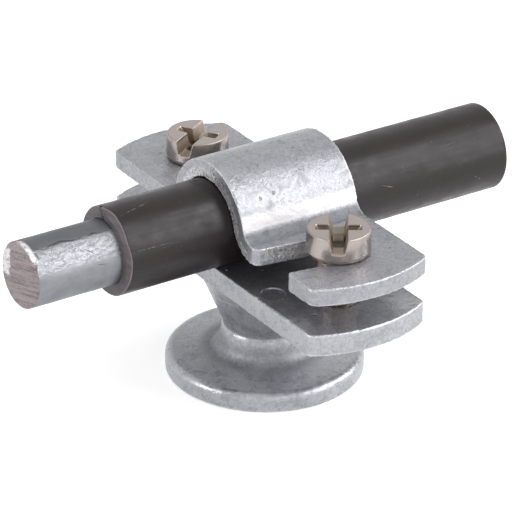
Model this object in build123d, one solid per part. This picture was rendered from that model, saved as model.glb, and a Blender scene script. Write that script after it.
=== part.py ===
"""Conductor holder: a cast foot with a clamping plate, a stamped saddle cover, two
cheese-head screws and a sample of sheathed round conductor. Millimetres, +Z up.
The origin is the centre of the round foot's underside. X runs along the conductor,
whose bare end points towards -X. The cover's wing with the open slot points to -Y."""
import os
from math import cos, radians, sin, sqrt, tan

from build123d import *

# Conductor
CORE_DIA = 10.0  # round steel rod
SHEATH_WALL = 1.75
SAWN_X = -41.6  # where the sawn end crosses the axis
SHEATH_CUT_X = -27.7  # where the sheath is cut back
CONDUCTOR_END_X = 39.5
SAW_TILT = 2.5  # degrees, the saw cut isn't quite square
SHEATH_BEVEL = 0.15

# Foot casting
FOOT_DIA = 30.2
RIM_HEIGHT = 3.3
RIM_ROUND = 1.0
TOP_SLOPE = 5.0  # degrees, the foot's top rises towards the neck
COLLAR_DIA = 13.2
COLLAR_FOOT = 1.5  # hollow round where the collar meets the foot
COLLAR_SHOULDER = 0.2
WAIST_DIA = 12.4  # the crease between the collar and the neck
WAIST_HEIGHT = 7.9
FLARE_MARGIN = 0.15  # the flare ends this far inside the plate's sides
PLATE_TOP = 20.0
PLATE_THICK = 3.5
PLATE_WIDTH = 20.1
PLATE_MARGIN = 10.3  # from a screw's axis to the plate's tip
PLATE_END_RADIUS = 20.5
PLATE_CORNER = 0.9
PLATE_EDGE = 0.3
MARK_DIA = 3.9  # shallow round mark left in the plate
MARK_DEPTH = 0.3
MARK_X, MARK_Y = -7.2, -13.0
FOOT_TAP_DIA = 6.8  # wall of the tapped M8 hole in the underside
FOOT_TAP_DEPTH = 11.0
DRILL_TIP = 118.0  # degrees

# Cover
COVER_THICK = 2.8
COVER_WIDTH = 20.0
COVER_MARGIN = 10.6  # from a screw's axis to the cover's tip
COVER_END_RADIUS = 20.5
COVER_CORNER = 1.0
SADDLE_DEPTH = 8.95  # inside height of the saddle above the wings' underside
BEND_RADIUS = 1.2  # inside radius where the saddle turns into a wing
SLOT_WIDTH = 8.0
SLOT_TILT = 8.5  # degrees, the slot leans towards the saddle at its mouth
SLOT_MOUTH_ROUND = 0.8

# Screws
SCREW_PITCH = 38.0
THREAD_DIA = 6.0
SCREW_LENGTH = 12.0
TIP_CHAMFER = 0.8
HEAD_DIA = 9.6
HEAD_TOP_DIA = 9.2
HEAD_HEIGHT = 3.9
HEAD_EDGE = 0.25
HEAD_FOOT = 0.5  # round edge where the head meets the cover
DRIVE_SLOT_TOP = 2.7
DRIVE_SLOT_FLOOR = 1.9
DRIVE_SLOT_DEPTH = 2.2
DRIVE_SLOT_BEVEL = 0.3
CROSS_DIA = 6.5
CROSS_FLOOR_DIA = 4.0
CROSS_WIDTH = 1.7
CROSS_DEPTH = 3.0
DRIVE_ANGLES = {"front": 56.0, "rear": 31.0}  # degrees from +X, as tightened

# Clearances
CORE_CLEARANCE = 0.02
CONTACT = 0.02  # conductor above the plate
SADDLE_CLEARANCE = 0.08
THREAD_CLEARANCE = 0.05
THREAD_MOUTH = 0.4
COVER_HOLE_CLEARANCE = 0.3
SLOT_CLEARANCE = 0.1  # shank to the slot's near wall

# Worked out from the sizes above
core_r = CORE_DIA / 2
sheath_r = core_r + SHEATH_WALL
axis_z = PLATE_TOP + CONTACT + sheath_r
arch_in = sheath_r + SADDLE_CLEARANCE
arch_out = arch_in + COVER_THICK
wing_under = axis_z + arch_in - SADDLE_DEPTH
wing_top = wing_under + COVER_THICK
plate_under = PLATE_TOP - PLATE_THICK
plate_length = SCREW_PITCH + 2 * PLATE_MARGIN
cover_length = SCREW_PITCH + 2 * COVER_MARGIN
shank_r = THREAD_DIA / 2
screw_y = {"front": -SCREW_PITCH / 2, "rear": SCREW_PITCH / 2}

# Each wing bends out of the arch about a line beside it
bend_z = wing_top + BEND_RADIUS
bend_rise = max(bend_z - axis_z, 0.0)
bend_y = sqrt((arch_out + BEND_RADIUS) ** 2 - bend_rise ** 2)


def plate_outline(width, length, end_radius, corner):
    """A strip along Y with straight sides, arched ends and rounded corners."""
    half = width / 2
    side = length / 2 - end_radius + sqrt(end_radius ** 2 - half ** 2)
    with BuildSketch() as outline:
        with BuildLine():
            Line((half, -side), (half, side))
            ThreePointArc((half, side), (0, length / 2), (-half, side))
            Line((-half, side), (-half, -side))
            ThreePointArc((-half, -side), (0, -length / 2), (half, -side))
        make_face()
        fillet(outline.vertices(), corner)
    return outline.sketch


def round_corner(drawing, point, radius):
    """Round the drawing's corner nearest to a point."""
    fillet(drawing.vertices().sort_by_distance(Vector(*point))[0], radius)


def bevel_corner(drawing, point, size):
    """Cut the drawing's corner nearest to a point."""
    chamfer(drawing.vertices().sort_by_distance(Vector(*point))[0], size)


def foot_and_neck():
    """Round foot, collar and flared neck, turned about Z up into the plate."""
    foot, collar, waist = FOOT_DIA / 2, COLLAR_DIA / 2, WAIST_DIA / 2
    flare = PLATE_WIDTH / 2 - FLARE_MARGIN
    collar_z = RIM_HEIGHT + (foot - RIM_ROUND - collar) * tan(radians(TOP_SLOPE))
    shoulder = (collar - 0.1, WAIST_HEIGHT - 0.4)
    rim_top = (foot, RIM_HEIGHT)
    with BuildSketch(Plane.XZ) as section:
        with BuildLine():
            Polyline((0, 0), (foot - 0.3, 0), (foot, 0.3), rim_top, (collar, collar_z), shoulder,
                     (waist, WAIST_HEIGHT), (flare, plate_under), (flare, plate_under + 1),
                     (0, plate_under + 1), (0, 0))
        make_face()
        round_corner(section, rim_top, RIM_ROUND)
        round_corner(section, (collar, collar_z), COLLAR_FOOT)
        bevel_corner(section, shoulder, COLLAR_SHOULDER)
    return revolve(section.sketch, Axis.Z)


def base_casting():
    """Foot, neck and clamping plate in one, with its tapped holes and the round mark."""
    outline = plate_outline(PLATE_WIDTH, plate_length, PLATE_END_RADIUS, PLATE_CORNER)
    plate = extrude(Pos(0, 0, plate_under) * outline, PLATE_THICK)
    rims = plate.edges().group_by(Axis.Z)
    plate = chamfer(rims[0] + rims[-1], PLATE_EDGE)
    casting = foot_and_neck() + plate

    hole_r = shank_r + THREAD_CLEARANCE
    for y in screw_y.values():
        casting -= Pos(0, y, PLATE_TOP - PLATE_THICK / 2) * Cylinder(hole_r, PLATE_THICK + 2)
        for z, turn in ((PLATE_TOP, 0), (plate_under, 180)):
            mouth = Cone(hole_r, hole_r + THREAD_MOUTH, THREAD_MOUTH, align=(Align.CENTER,) * 2 + (Align.MAX,))
            casting -= Pos(0, y, z) * Rot(turn, 0, 0) * mouth
    casting -= Pos(MARK_X, MARK_Y, PLATE_TOP) * Cylinder(MARK_DIA / 2, MARK_DEPTH * 2)

    tap_r = FOOT_TAP_DIA / 2
    tip = tap_r / tan(radians(DRILL_TIP / 2))
    with BuildSketch(Plane.XZ) as bore:
        with BuildLine():
            Polyline((0, -1), (tap_r, -1), (tap_r, FOOT_TAP_DEPTH), (0, FOOT_TAP_DEPTH + tip), (0, -1))
        make_face()
    return casting - revolve(bore.sketch, Axis.Z)


def cover_section():
    """The stamped strip's side view: wing, bend, arch, bend and wing."""
    reach = cover_length / 2
    lean = bend_rise / (arch_out + BEND_RADIUS)
    flat = sqrt(1 - lean ** 2)
    bend_out = BEND_RADIUS + COVER_THICK

    def skin(radius, bend, z):
        """One face of the strip from wing tip to wing tip."""
        for side in (-1, 1):
            start = (side * radius * flat, axis_z + radius * lean)
            bend_start = (side * (bend_y - bend * flat), bend_z - bend * lean)
            turn = sqrt(0.5 * (1 - lean)), sqrt(0.5 * (1 + lean))
            bend_mid = (side * (bend_y - bend * turn[0]), bend_z - bend * turn[1])
            if bend_z < axis_z:
                Line(start, bend_start)
            ThreePointArc(bend_start, bend_mid, (side * bend_y, z))
            Line((side * bend_y, z), (side * reach, z))
        ThreePointArc((-radius * flat, axis_z + radius * lean), (0, axis_z + radius),
                      (radius * flat, axis_z + radius * lean))

    with BuildSketch(Plane.YZ) as section:
        with BuildLine():
            skin(arch_out, BEND_RADIUS, wing_top)
            skin(arch_in, bend_out, wing_under)
            for side in (-1, 1):
                Line((side * reach, wing_under), (side * reach, wing_top))
        make_face()
    return section.sketch


def swing_slot():
    """Open slot that lets the front wing swing out from under its screw."""
    lean = radians(SLOT_TILT)
    offset = SLOT_WIDTH / 2 - shank_r - SLOT_CLEARANCE
    end_x, end_y = offset * sin(lean), screw_y["front"] + offset * cos(lean)
    with BuildSketch() as outline:
        with Locations(Location((end_x, end_y), 180 - SLOT_TILT)):
            Circle(SLOT_WIDTH / 2)
            Rectangle(COVER_WIDTH, SLOT_WIDTH, align=(Align.MIN, Align.CENTER))
    return Pos(0, 0, wing_under - 1) * extrude(outline.sketch, COVER_THICK + 2)


def clamp_cover():
    """Stamped saddle cover with one round hole and one open slot, its mouth rounded."""
    strip = extrude(cover_section(), COVER_WIDTH / 2, both=True)
    plan = plate_outline(COVER_WIDTH, cover_length, COVER_END_RADIUS, COVER_CORNER)
    cover = strip & extrude(Pos(0, 0, wing_under - 1) * plan, SADDLE_DEPTH + COVER_THICK + 2)
    hole_r = shank_r + COVER_HOLE_CLEARANCE
    cover -= Pos(0, screw_y["rear"], wing_under) * Cylinder(hole_r, COVER_THICK * 3)
    cover -= swing_slot()
    mouth_y = screw_y["front"] + COVER_WIDTH / 2 * tan(radians(SLOT_TILT))
    mouth = Vector(-COVER_WIDTH / 2, mouth_y, wing_under + COVER_THICK / 2)
    corners = cover.edges().filter_by(Axis.Z).sort_by_distance(mouth)[:2]
    return fillet(corners, SLOT_MOUTH_ROUND)


def cheese_head_screw(y, drive_angle):
    """Cheese-head screw seated on the cover, its thread as a plain cylinder."""
    head, top = HEAD_DIA / 2, HEAD_TOP_DIA / 2
    crown = (top, HEAD_HEIGHT)
    with BuildSketch(Plane.XZ) as section:
        with BuildLine():
            Polyline((0, -SCREW_LENGTH), (shank_r - TIP_CHAMFER, -SCREW_LENGTH),
                     (shank_r, -SCREW_LENGTH + TIP_CHAMFER), (shank_r, 0), (head, 0), crown,
                     (0, HEAD_HEIGHT), (0, -SCREW_LENGTH))
        make_face()
        bevel_corner(section, crown, HEAD_EDGE)
        bevel_corner(section, (head, 0), HEAD_FOOT)
    screw = revolve(section.sketch, Axis.Z)

    with BuildSketch(Plane.YZ) as slot:
        with BuildLine():
            wall, floor, deep = DRIVE_SLOT_TOP / 2, DRIVE_SLOT_FLOOR / 2, HEAD_HEIGHT - DRIVE_SLOT_DEPTH
            Polyline((-wall, HEAD_HEIGHT), (-floor, deep), (floor, deep), (wall, HEAD_HEIGHT),
                     (wall, HEAD_HEIGHT + 1), (-wall, HEAD_HEIGHT + 1), (-wall, HEAD_HEIGHT))
        make_face()
        for side in (-floor, floor):
            bevel_corner(slot, (side, deep), DRIVE_SLOT_BEVEL)
    screw -= extrude(slot.sketch, HEAD_DIA, both=True)

    with BuildSketch(Plane.XZ) as blade:
        with BuildLine():
            rim, floor, deep = CROSS_DIA / 2, CROSS_FLOOR_DIA / 2, HEAD_HEIGHT - CROSS_DEPTH
            Polyline((-rim, HEAD_HEIGHT), (-floor, deep), (floor, deep), (rim, HEAD_HEIGHT),
                     (rim, HEAD_HEIGHT + 1), (-rim, HEAD_HEIGHT + 1), (-rim, HEAD_HEIGHT))
        make_face()
    cutter = extrude(blade.sketch, CROSS_WIDTH / 2, both=True)
    screw -= cutter
    screw -= Rot(0, 0, 90) * cutter
    return Pos(0, y, wing_top) * Rot(0, 0, drive_angle) * screw


def conductor_core():
    """Round steel rod, sawn at its bare end."""
    start = SAWN_X - CORE_DIA
    rod = Pos(start, 0, axis_z) * Rot(0, 90, 0) * Cylinder(
        core_r, CONDUCTOR_END_X - start, align=(Align.CENTER,) * 2 + (Align.MIN,))
    waste = Box(4 * CORE_DIA, 4 * CORE_DIA, 4 * CORE_DIA, align=(Align.MAX, Align.CENTER, Align.CENTER))
    return rod - Pos(SAWN_X, 0, axis_z) * Rot(0, SAW_TILT, SAW_TILT) * waste


def conductor_sheath():
    """Extruded sheath with a bevelled knife cut."""
    inner, outer = core_r + CORE_CLEARANCE, sheath_r
    with BuildSketch(Plane.XZ) as section:
        with BuildLine():
            Polyline((SHEATH_CUT_X, inner), (SHEATH_CUT_X, outer - SHEATH_BEVEL),
                     (SHEATH_CUT_X + SHEATH_BEVEL, outer), (CONDUCTOR_END_X, outer),
                     (CONDUCTOR_END_X, inner), (SHEATH_CUT_X, inner))
        make_face()
    return Pos(0, 0, axis_z) * revolve(section.sketch, Axis.X)


def build():
    """Every piece by its node name."""
    pieces = {
        "base_casting": base_casting(),
        "clamp_cover": clamp_cover(),
        "conductor_core": conductor_core(),
        "conductor_sheath": conductor_sheath(),
    }
    for place, y in screw_y.items():
        pieces[f"screw_{place}"] = cheese_head_screw(y, DRIVE_ANGLES[place])
    return pieces


os.makedirs("parts", exist_ok=True)
for name, piece in build().items():
    export_step(piece, f"parts/{name}.step")
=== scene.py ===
"""Looks of the conductor holder: a hot-dip galvanised casting and stamped cover, two plated
screws and a sheathed zinc-coated rod. Lengths are metres in the CAD frame: X along the conductor,
whose sawn end points to -X, the slotted wing to -Y, +Z up, origin under the middle of the foot."""
import math
from functools import partial

import bmesh
import bpy
import numpy as np
from bpy.props import FloatProperty, FloatVectorProperty, PointerProperty
from mathutils import Matrix, Vector, noise


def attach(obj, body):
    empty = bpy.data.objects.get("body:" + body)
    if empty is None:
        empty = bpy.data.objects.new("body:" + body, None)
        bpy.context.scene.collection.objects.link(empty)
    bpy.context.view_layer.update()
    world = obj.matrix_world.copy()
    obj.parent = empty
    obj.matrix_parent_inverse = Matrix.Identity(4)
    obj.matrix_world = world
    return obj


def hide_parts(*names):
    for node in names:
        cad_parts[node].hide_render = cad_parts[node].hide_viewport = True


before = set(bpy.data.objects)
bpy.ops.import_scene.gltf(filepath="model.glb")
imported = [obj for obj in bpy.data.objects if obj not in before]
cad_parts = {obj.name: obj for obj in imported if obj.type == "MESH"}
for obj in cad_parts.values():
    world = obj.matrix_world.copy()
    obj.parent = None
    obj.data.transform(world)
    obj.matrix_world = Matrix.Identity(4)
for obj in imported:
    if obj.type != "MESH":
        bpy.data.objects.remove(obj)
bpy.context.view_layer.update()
MM = 0.001

bl_info = {
    "name": "Conductor holder",
    "version": (1, 0, 0),
    "blender": (4, 5, 0),
    "location": "View3D > Sidebar > Holder",
    "description": "Builds a galvanised conductor holder with its screws and sample conductor",
    "category": "Object",
}


def linear(code):
    """A colour written as sRGB hex, as the linear values that shaders and properties take."""
    values = [int(code[i:i + 2], 16) / 255 for i in (1, 3, 5)]
    return tuple(v / 12.92 if v <= 0.04045 else ((v + 0.055) / 1.055) ** 2.4 for v in values)


# Sizes and colours a user would change


class HolderCastingSizes(bpy.types.PropertyGroup):
    foot_radius: FloatProperty(
        name="Foot radius", description="Round foot, to its rim", default=15.1 * MM, unit="LENGTH")
    rim_height: FloatProperty(
        name="Rim height", description="Height of the foot at its rim", default=3.3 * MM,
        unit="LENGTH")
    rim_round: FloatProperty(
        name="Rim rounding", description="Radius of the rim's top edge", default=1.2 * MM,
        unit="LENGTH")
    top_slope: FloatProperty(
        name="Top slope", description="Rise of the foot's top towards the neck",
        default=math.radians(5), unit="ROTATION")
    collar_radius: FloatProperty(
        name="Collar radius", description="Collar where its hollow round ends", default=7.0 * MM,
        unit="LENGTH")
    collar_lean: FloatProperty(
        name="Collar lean", description="Inward lean of the collar's side",
        default=math.radians(12), unit="ROTATION")
    collar_shoulder: FloatProperty(
        name="Collar shoulder", description="Rounding of the collar's upper edge",
        default=0.7 * MM, unit="LENGTH")
    collar_hollow: FloatProperty(
        name="Collar hollow", description="Hollow round between collar and foot", default=1.7 * MM,
        unit="LENGTH")
    crease_radius: FloatProperty(
        name="Crease radius", description="Crease between collar and neck", default=6.15 * MM,
        unit="LENGTH")
    crease_height: FloatProperty(
        name="Crease height", description="Height of that crease", default=7.75 * MM,
        unit="LENGTH")
    plate_top: FloatProperty(
        name="Plate top", description="Height of the plate that the conductor lies on",
        default=20.0 * MM, unit="LENGTH")
    plate_thickness: FloatProperty(
        name="Plate thickness", description="Thickness of the lower plate", default=3.5 * MM,
        unit="LENGTH")
    plate_width: FloatProperty(
        name="Plate width", description="Lower plate, along the conductor", default=20.1 * MM,
        unit="LENGTH")
    plate_length: FloatProperty(
        name="Plate length", description="Lower plate, tip to tip", default=58.6 * MM,
        unit="LENGTH")
    mark_radius: FloatProperty(
        name="Mark radius", description="Round moulding mark in the plate", default=1.95 * MM,
        unit="LENGTH")
    tap_radius: FloatProperty(
        name="Foot thread radius", description="Tapping drill of the foot's thread",
        default=3.4 * MM, unit="LENGTH")
    tap_pitch: FloatProperty(
        name="Foot thread pitch", description="Pitch of the foot's thread", default=1.25 * MM,
        unit="LENGTH")


class HolderCoverSizes(bpy.types.PropertyGroup):
    thickness: FloatProperty(
        name="Thickness", description="Sheet thickness of the cover", default=2.8 * MM,
        unit="LENGTH")
    width: FloatProperty(
        name="Width", description="Cover, along the conductor", default=20.0 * MM, unit="LENGTH")
    length: FloatProperty(
        name="Length", description="Cover, tip to tip", default=59.2 * MM, unit="LENGTH")
    tip_radius: FloatProperty(
        name="Tip radius", description="Arched ends of cover and plate", default=20.5 * MM,
        unit="LENGTH")
    wing_top: FloatProperty(
        name="Wing top", description="Height of the wings' upper face", default=27.45 * MM,
        unit="LENGTH")
    arch_radius: FloatProperty(
        name="Arch radius", description="Inside radius of the saddle", default=6.83 * MM,
        unit="LENGTH")
    bend_radius: FloatProperty(
        name="Bend radius", description="Inside radius from saddle to wing", default=2.5 * MM,
        unit="LENGTH")
    slot_width: FloatProperty(
        name="Slot width", description="Open slot in the front wing", default=8.0 * MM,
        unit="LENGTH")
    inner_mouth: FloatProperty(
        name="Inner mouth", description="Rounding of the slot's mouth by the saddle",
        default=1.4 * MM, unit="LENGTH")
    outer_mouth: FloatProperty(
        name="Outer mouth", description="Rounding of the slot's mouth by the tip",
        default=0.6 * MM, unit="LENGTH")
    slot_tilt: FloatProperty(
        name="Slot tilt", description="Lean of the slot towards the saddle",
        default=math.radians(8.5), unit="ROTATION")
    hole_radius: FloatProperty(
        name="Hole radius", description="Round hole in the rear wing", default=3.3 * MM,
        unit="LENGTH")


class HolderScrewSizes(bpy.types.PropertyGroup):
    offset: FloatProperty(
        name="Screw offset", description="Each screw's distance from the middle",
        default=19.0 * MM, unit="LENGTH")
    thread_radius: FloatProperty(
        name="Thread radius", description="Outer radius of the M6 thread", default=2.98 * MM,
        unit="LENGTH")
    pitch: FloatProperty(name="Pitch", description="Thread pitch", default=1.0 * MM, unit="LENGTH")
    length: FloatProperty(
        name="Length", description="Length under the head", default=12.0 * MM, unit="LENGTH")
    head_radius: FloatProperty(
        name="Head radius", description="Widest radius of the head", default=4.8 * MM,
        unit="LENGTH")
    head_top_radius: FloatProperty(
        name="Head top radius", description="Radius of the head's flat top", default=4.63 * MM,
        unit="LENGTH")
    head_height: FloatProperty(
        name="Head height", description="Height of the head", default=3.9 * MM, unit="LENGTH")
    slot_depth: FloatProperty(
        name="Slot depth", description="Depth of the straight slot", default=2.2 * MM,
        unit="LENGTH")
    cross_radius: FloatProperty(
        name="Cross radius", description="Reach of the recessed cross", default=3.25 * MM,
        unit="LENGTH")
    cross_depth: FloatProperty(
        name="Cross depth", description="Depth of the recessed cross", default=3.0 * MM,
        unit="LENGTH")
    front_turn: FloatProperty(
        name="Front screw's turn", description="Direction of its drive slot",
        default=math.radians(56), unit="ROTATION")
    rear_turn: FloatProperty(
        name="Rear screw's turn", description="Direction of its drive slot",
        default=math.radians(31), unit="ROTATION")


class HolderConductorSizes(bpy.types.PropertyGroup):
    rod_radius: FloatProperty(
        name="Rod radius", description="Bare rod", default=5.0 * MM, unit="LENGTH")
    sheath_radius: FloatProperty(
        name="Sheath radius", description="Outside of the sheath", default=6.75 * MM,
        unit="LENGTH")
    height: FloatProperty(
        name="Axis height", description="Height of the conductor's axis", default=26.77 * MM,
        unit="LENGTH")
    sawn_end: FloatProperty(
        name="Sawn end", description="Place of the sawn end", default=-41.6 * MM, unit="LENGTH")
    sheath_cut: FloatProperty(
        name="Sheath cut", description="Place of the sheath's cut end", default=-27.7 * MM,
        unit="LENGTH")
    far_end: FloatProperty(
        name="Far end", description="Place of the sheathed end", default=39.5 * MM, unit="LENGTH")
    saw_tilt: FloatProperty(
        name="Saw tilt", description="Lean of the saw cut", default=math.radians(2.5),
        unit="ROTATION")


class HolderColours(bpy.types.PropertyGroup):
    cover_pale: FloatVectorProperty(
        name="Pale cover", description="Fresher grains of the cover's skin",
        default=linear("#A6A7AC"), size=3, subtype="COLOR")
    cover_dull: FloatVectorProperty(
        name="Dull cover", description="Dull patches of the cover's skin",
        default=linear("#909197"), size=3, subtype="COLOR")
    # the casting's colours are lighter than the cover's, as painted fill light for its shaded foot,
    # neck and plate
    cast_pale: FloatVectorProperty(
        name="Pale casting", description="Fresher grains of the casting's skin",
        default=linear("#B1B2B7"), size=3, subtype="COLOR")
    cast_dull: FloatVectorProperty(
        name="Dull casting", description="Dull patches of the casting's skin",
        default=linear("#95969C"), size=3, subtype="COLOR")
    # also the colour of the highlight painted low on the cover's flanks
    zinc_bright_and_highlight: FloatVectorProperty(
        name="Bright zinc", description="Zinc rubbed or smeared bright", default=linear("#E2E0E1"),
        size=3, subtype="COLOR")
    # also the colour of the shade painted in hollows and over the rod's top
    zinc_pit_and_shade: FloatVectorProperty(
        name="Zinc pits", description="Pits and dross in the galvanised skin",
        default=linear("#4A4C4F"), size=3, subtype="COLOR")
    rod_pale: FloatVectorProperty(
        name="Pale rod", description="Brighter grains of the rod's zinc",
        default=linear("#9A9CA0"), size=3, subtype="COLOR")
    rod_dull: FloatVectorProperty(
        name="Dull rod", description="Duller streaks of the rod's zinc", default=linear("#7B7D81"),
        size=3, subtype="COLOR")
    plating: FloatVectorProperty(
        name="Screw plating", description="Nickel-like plating of the screws",
        default=linear("#A69D99"), size=3, subtype="COLOR")
    plating_grime: FloatVectorProperty(
        name="Recess grime", description="Brown film in the drive recess",
        default=linear("#8E7E6B"), size=3, subtype="COLOR")
    # painted shade at the bottom of the drive recess
    recess_shade: FloatVectorProperty(
        name="Recess pit", description="Dark bottom of the drive recess",
        default=linear("#40382D"), size=3, subtype="COLOR")
    sheath: FloatVectorProperty(
        name="Sheath", description="Black PVC sheath", default=linear("#1B1415"), size=3,
        subtype="COLOR")
    sheath_cut: FloatVectorProperty(
        name="Sheath cut", description="Knife-cut face of the sheath", default=linear("#6A6165"),
        size=3, subtype="COLOR")
    sawn_steel: FloatVectorProperty(
        name="Sawn steel", description="Steel of the sawn face", default=linear("#8E8486"), size=3,
        subtype="COLOR")
    floor: FloatVectorProperty(
        name="Floor", description="Plain pale floor", default=linear("#F2F2F2"), size=3,
        subtype="COLOR")


class HolderView(bpy.types.PropertyGroup):
    azimuth: FloatProperty(
        name="Azimuth", description="Camera's turn about the holder",
        default=math.radians(-33.191), unit="ROTATION")
    elevation: FloatProperty(
        name="Elevation", description="Camera's height above the horizon",
        default=math.radians(27.140), unit="ROTATION")
    roll: FloatProperty(
        name="Roll", description="Camera's roll", default=math.radians(0.410), unit="ROTATION")
    distance: FloatProperty(
        name="Distance", description="Camera to the point it looks at", default=503.177 * MM,
        unit="LENGTH")
    aim_height: FloatProperty(
        name="Aim height", description="Height of the point it looks at", default=18.188 * MM,
        unit="LENGTH")
    aim_shift: FloatProperty(
        name="Aim shift", description="Sideways shift of that point", default=-1.179 * MM,
        unit="LENGTH")
    lens: FloatProperty(
        name="Lens", description="Focal length on a 36 mm wide sensor, in millimetres",
        default=235.9)


# Meshes


def piece(name, points, faces):
    """A mesh object from points in metres and faces as index lists."""
    mesh = bpy.data.meshes.new(name)
    mesh.from_pydata([tuple(p) for p in points], [], faces)
    mesh.update()
    made = bpy.data.objects.new(name, mesh)
    bpy.context.scene.collection.objects.link(made)
    return made


def capped(name, rows, first, last):
    """Solid from closed rings of points, fanned shut at both ends."""
    steps = len(rows[0])
    points = [first, last] + [p for row in rows for p in row]
    end = 2 + (len(rows) - 1) * steps
    faces = []
    for k in range(steps):
        n = (k + 1) % steps
        faces += [(0, 2 + n, 2 + k), (1, end + k, end + n)]
        for low in range(2, end, steps):
            faces.append((low + k, low + n, low + steps + n, low + steps + k))
    return piece(name, points, faces)


def turned(name, profile, steps=192):
    """Solid turned about Z from a profile of (radius, height) that starts and ends on the axis."""
    angles = [2 * math.pi * k / steps for k in range(steps)]
    rows = [[(r * math.cos(a), r * math.sin(a), z) for a in angles] for r, z in profile[1:-1]]
    return capped(name, rows, (0, 0, profile[0][1]), (0, 0, profile[-1][1]))


def threaded(name, crest, depth, pitch, low, high, lead):
    """Right-hand threaded plug about Z from low to high, its low end tapering in over lead."""
    steps, rows = 96, round((high - low) / pitch * 16)
    rings = []
    for row in range(rows + 1):
        z = low + (high - low) * row / rows
        start = crest - (depth + 0.2 * MM) * max(1 - (z - low) / lead, 0)
        ring = []
        for k in range(steps):
            # flat crests and roots with straight flanks between them
            flank = abs((z / pitch - k / steps) % 1 - 0.5) * 2.5 - 0.15
            radius = min(crest - depth * min(max(flank, 0), 1), start)
            angle = 2 * math.pi * k / steps
            ring.append((radius * math.cos(angle), radius * math.sin(angle), z))
        rings.append(ring)
    return capped(name, rings, (0, 0, low), (0, 0, high))


def drawn(name, outline, low, high):
    """Prism from a flat outline, anticlockwise from above, between two heights."""
    count = len(outline)
    points = [(x, y, low) for x, y in outline] + [(x, y, high) for x, y in outline]
    faces = [tuple(range(count - 1, -1, -1)), tuple(range(count, 2 * count))]
    faces += [(k, (k + 1) % count, count + (k + 1) % count, count + k) for k in range(count)]
    return piece(name, points, faces)


def arc(centre, radius, start, end, steps):
    """Points of an arc in degrees, both ends included."""
    angles = [math.radians(start + (end - start) * k / steps) for k in range(steps + 1)]
    return [(centre[0] + radius * math.cos(a), centre[1] + radius * math.sin(a)) for a in angles]


def rounded_strip(width, length, end_radius, corner):
    """Outline of a strip along Y with arched ends and rounded corners."""
    half, centre = width / 2, length / 2 - end_radius
    near = end_radius - corner
    turn = math.degrees(math.asin((half - corner) / near))
    corner_y = centre + near * math.cos(math.radians(turn))
    top = arc((half - corner, corner_y), corner, 0, 90 - turn, 6)
    top += arc((0, centre), end_radius, 90 - turn, 90 + turn, 48)[1:-1]
    top += arc((corner - half, corner_y), corner, 90 + turn, 180, 6)
    return top + [(-x, -y) for x, y in top]


# Turns that lay a prism's height, or a turned piece's axis, along X
PRISM_ALONG_X = Matrix(((0, 0, 1, 0), (1, 0, 0, 0), (0, 1, 0, 0), (0, 0, 0, 1)))
AXIS_ALONG_X = Matrix.Rotation(math.pi / 2, 4, "Y")


def place(made, *turns):
    """Moves a mesh's own points, so that the object keeps the CAD frame."""
    for turn in turns:
        made.data.transform(turn)
    return made


def settle(made):
    """Applies the object's modifiers to its mesh."""
    bpy.context.view_layer.update()
    shown = made.evaluated_get(bpy.context.evaluated_depsgraph_get())
    done = bpy.data.meshes.new_from_object(shown)
    made.modifiers.clear()
    made.data = done
    return made


def combine(made, tool, how):
    """Cuts, joins or trims a piece with a tool piece, which is used up."""
    step = made.modifiers.new(how.lower(), "BOOLEAN")
    step.operation, step.solver, step.object = how, "EXACT", tool
    settle(made)
    bpy.data.objects.remove(tool)
    return made


def drill(made, radius, low, high, spot):
    """Cuts a round hole about Z, between two heights above a spot."""
    hole = turned("hole", [(0, low), (radius, low), (radius, high), (0, high)], steps=96)
    return combine(made, place(hole, Matrix.Translation(spot)), "DIFFERENCE")


def skin(made, grain, passes):
    """Even fine mesh with softened edges, as dipping, tumbling or plating leaves them."""
    even = made.modifiers.new("even", "REMESH")
    even.mode, even.voxel_size = "VOXEL", grain
    soft = made.modifiers.new("soft", "SMOOTH")
    soft.factor, soft.iterations = 0.5, passes
    return settle(made)


def refine(made, near):
    """Halves the mesh's edges twice where near(point in mm) holds, for a small sharp form."""
    work = bmesh.new()
    work.from_mesh(made.data)
    for _ in range(2):
        picked = [e for e in work.edges if all(near(v.co / MM) for v in e.verts)]
        bmesh.ops.subdivide_edges(work, edges=picked, cuts=1, use_grid_fill=True)
    work.to_mesh(made.data)
    work.free()
    return made


def values_of(data, name, width, kind=float):
    """A property of all of a mesh's points or edges, one row each."""
    values = np.empty(len(data) * width, kind)
    data.foreach_get(name, values)
    return values.reshape(-1, width)


# Curvature that counts as a sharp edge: both ways added up, per mm
SHARP = 2.2


def edge_strength(mesh):
    """For each point, how sharply the surface bends there: 1 on an outer edge, -1 in a crease."""
    points = values_of(mesh.vertices, "co", 3) / MM
    normals = values_of(mesh.vertex_normals, "vector", 3)
    ends = values_of(mesh.edges, "vertices", 2, np.int32)
    both, other = np.concatenate((ends, ends[:, ::-1])).T
    count = np.maximum(np.bincount(both, minlength=len(points)), 1)

    def around(values):
        """Mean of each point's neighbours."""
        sums = [np.bincount(both, column[other], len(points)) for column in values.T]
        return np.stack(sums, 1) / count[:, None]

    spacing = np.bincount(both, ((points[both] - points[other]) ** 2).sum(1), len(points)) / count
    bend = (-((around(points) - points) * normals).sum(1) / spacing * 4)[:, None]
    for _ in range(2):
        bend = 0.5 * bend + 0.5 * around(bend)
    return np.clip(bend[:, 0] / SHARP, -1, 1)


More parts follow.
